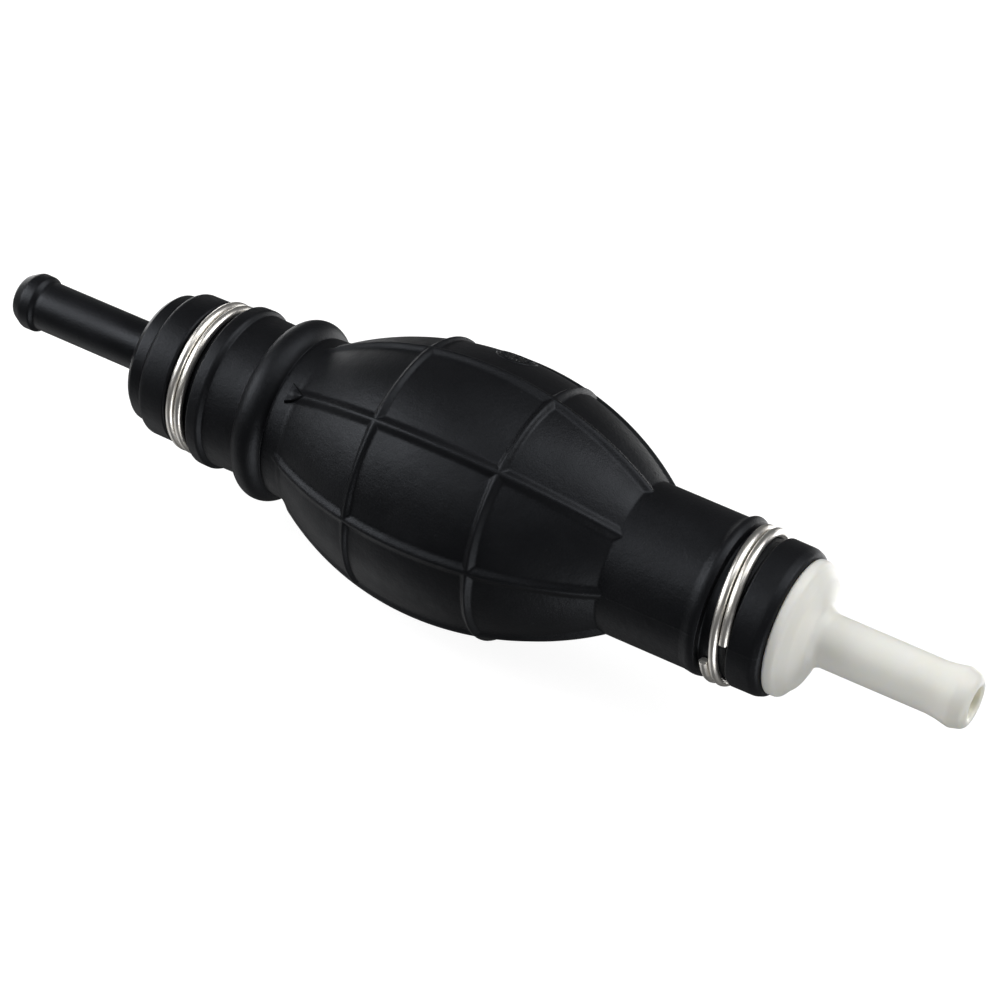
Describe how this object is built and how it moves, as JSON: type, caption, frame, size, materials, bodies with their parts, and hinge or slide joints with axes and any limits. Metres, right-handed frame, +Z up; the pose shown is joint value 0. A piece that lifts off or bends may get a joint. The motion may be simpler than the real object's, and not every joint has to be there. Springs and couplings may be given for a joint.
{
  "type": "siphon bulb pump",
  "caption": "In-line hand primer bulb: a ribbed rubber squeeze bulb clamped between two hose-barb fittings, each with a spring-loaded check valve.",
  "frame": {"origin": "on the flow axis, half way between the tips of the two hose barbs (centre of the bounding box)", "axes": "+X along the flow, from the black inlet barb to the white outlet barb; +Z up, through a rib of the bulb; the bulb is squeezed along Y"},
  "size_m": [0.1564, 0.0404, 0.0404],
  "materials": {
    "bulb_rubber": "satin, faintly grained",
    "black_plastic": "satin moulded",
    "white_nylon": "natural nylon, satin",
    "valve_plastic": "smooth moulded acetal",
    "seal_rubber": "smooth nitrile",
    "clamp_wire": "bright nickel-plated wire",
    "spring_wire": "stainless spring wire"
  },
  "bodies": {
    "pump_body": {"bulb": "bulb_rubber", "inlet_fitting": "black_plastic", "inlet_spring": "spring_wire", "inlet_valve_cage": "valve_plastic", "outlet_fitting": "white_nylon", "outlet_valve_seat": "valve_plastic", "outlet_spring": "spring_wire", "inlet_clamp": "clamp_wire", "outlet_clamp": "clamp_wire"},
    "front_wall": {"press_panel_front": "bulb_rubber"},
    "back_wall": {"press_panel_back": "bulb_rubber"},
    "inlet_valve": {"inlet_poppet": "valve_plastic", "inlet_poppet_seal": "seal_rubber"},
    "outlet_valve": {"outlet_poppet": "valve_plastic", "outlet_poppet_seal": "seal_rubber"}
  },
  "joints": [
    {"name": "press_front", "type": "slide", "parent": "pump_body", "child": "front_wall", "axis": [0, 1, 0], "range_m": [0, 0.011], "stiffness_N_per_m": 3000},
    {"name": "press_back", "type": "slide", "parent": "pump_body", "child": "back_wall", "axis": [0, -1, 0], "range_m": [0, 0.011], "stiffness_N_per_m": 3000},
    {"name": "inlet_valve_lift", "type": "slide", "parent": "pump_body", "child": "inlet_valve", "axis": [1, 0, 0], "range_m": [0, 0.0018], "stiffness_N_per_m": 60, "springref_m": -0.002, "deforming": ["inlet_spring"]},
    {"name": "outlet_valve_lift", "type": "slide", "parent": "pump_body", "child": "outlet_valve", "axis": [1, 0, 0], "range_m": [0, 0.0018], "stiffness_N_per_m": 60, "springref_m": -0.002, "deforming": ["outlet_spring"]}
  ],
  "couplings": [
    {"joint": "press_back", "follows": "press_front", "ratio": 1}
  ]
}
